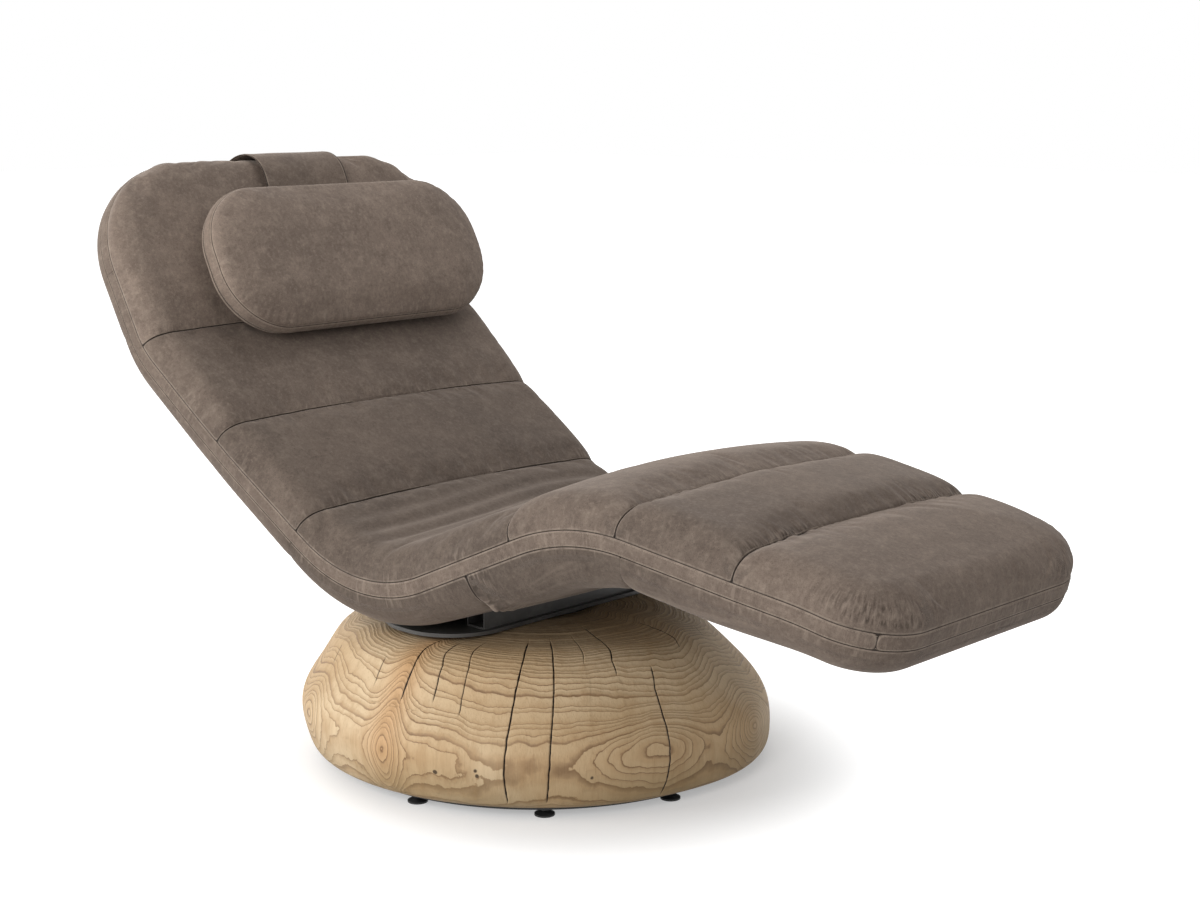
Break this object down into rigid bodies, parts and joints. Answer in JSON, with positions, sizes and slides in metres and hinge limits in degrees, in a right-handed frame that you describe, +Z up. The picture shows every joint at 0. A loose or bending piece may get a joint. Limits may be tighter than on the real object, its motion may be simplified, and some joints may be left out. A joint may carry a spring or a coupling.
{
  "type": "chaise longue",
  "caption": "Leather chaise longue bent to an S line, with channel pads and a sliding head cushion, swivelling on a solid timber pebble base",
  "frame": {"origin": "on the floor, under the middle of the overall length and width", "axes": "+X towards the foot end, +Y to the left of someone who lies in it, +Z up"},
  "size_m": [1.679, 0.7813, 0.9783],
  "materials": {
    "leather": "matt nubuck",
    "timber": "oiled",
    "black_steel": "satin",
    "black_plastic": "matt",
    "bearing_steel": "machined",
    "grey_steel": "satin",
    "plywood": "bare"
  },
  "bodies": {
    "base": {"wood_base": "timber", "base_plate": "black_steel", "base_plate_screws": "bearing_steel", "foot_pads": "black_plastic", "foot_studs": "black_steel", "foot_nuts": "black_steel", "swivel_lower_plate": "grey_steel", "swivel_lower_screws": "bearing_steel", "lower_race": "bearing_steel", "bearing_balls": "bearing_steel", "ball_cage": "black_plastic", "swivel_spindle": "bearing_steel", "spindle_washer": "bearing_steel", "spindle_nut": "bearing_steel"},
    "seat": {"upper_race": "bearing_steel", "swivel_upper_plate": "grey_steel", "seat_plate": "grey_steel", "seat_plate_screws": "bearing_steel", "mount_beam_front": "grey_steel", "mount_beam_rear": "grey_steel", "frame_rail_left": "grey_steel", "frame_rail_right": "grey_steel", "frame_crossbars": "grey_steel", "shell_panel": "plywood", "head_pad": "leather", "shoulder_pad": "leather", "lumbar_pad": "leather", "seat_pad": "leather", "thigh_pad": "leather", "calf_pad": "leather", "foot_pad": "leather", "band_head": "leather", "band_left": "leather", "band_right": "leather", "band_foot": "leather", "back_hood": "leather", "back_cover": "leather", "seat_underside": "leather", "knee_pouch": "leather", "leg_underside": "leather", "headrest_strap": "leather"},
    "headrest": {"headrest_pillow": "leather", "headrest_board": "plywood", "strap_sleeve": "leather"},
    "counterweight": {"counterweight_pouch": "leather", "counterweight_bar": "bearing_steel"}
  },
  "joints": [
    {"name": "seat_swivel", "type": "hinge", "parent": "base", "child": "seat", "pos_m": [-0.045, 0, 0.24], "axis": [0, 0, 1], "continuous": true},
    {"name": "headrest_slide", "type": "slide", "parent": "seat", "child": "headrest", "axis": [-0.454, 0, 0.891], "range_m": [0, 0.08]},
    {"name": "counterweight_slide", "type": "slide", "parent": "seat", "child": "counterweight", "axis": [-0.454, 0, 0.891], "range_m": [-0.08, 0]}
  ],
  "couplings": [
    {"joint": "counterweight_slide", "follows": "headrest_slide", "ratio": -1}
  ]
}
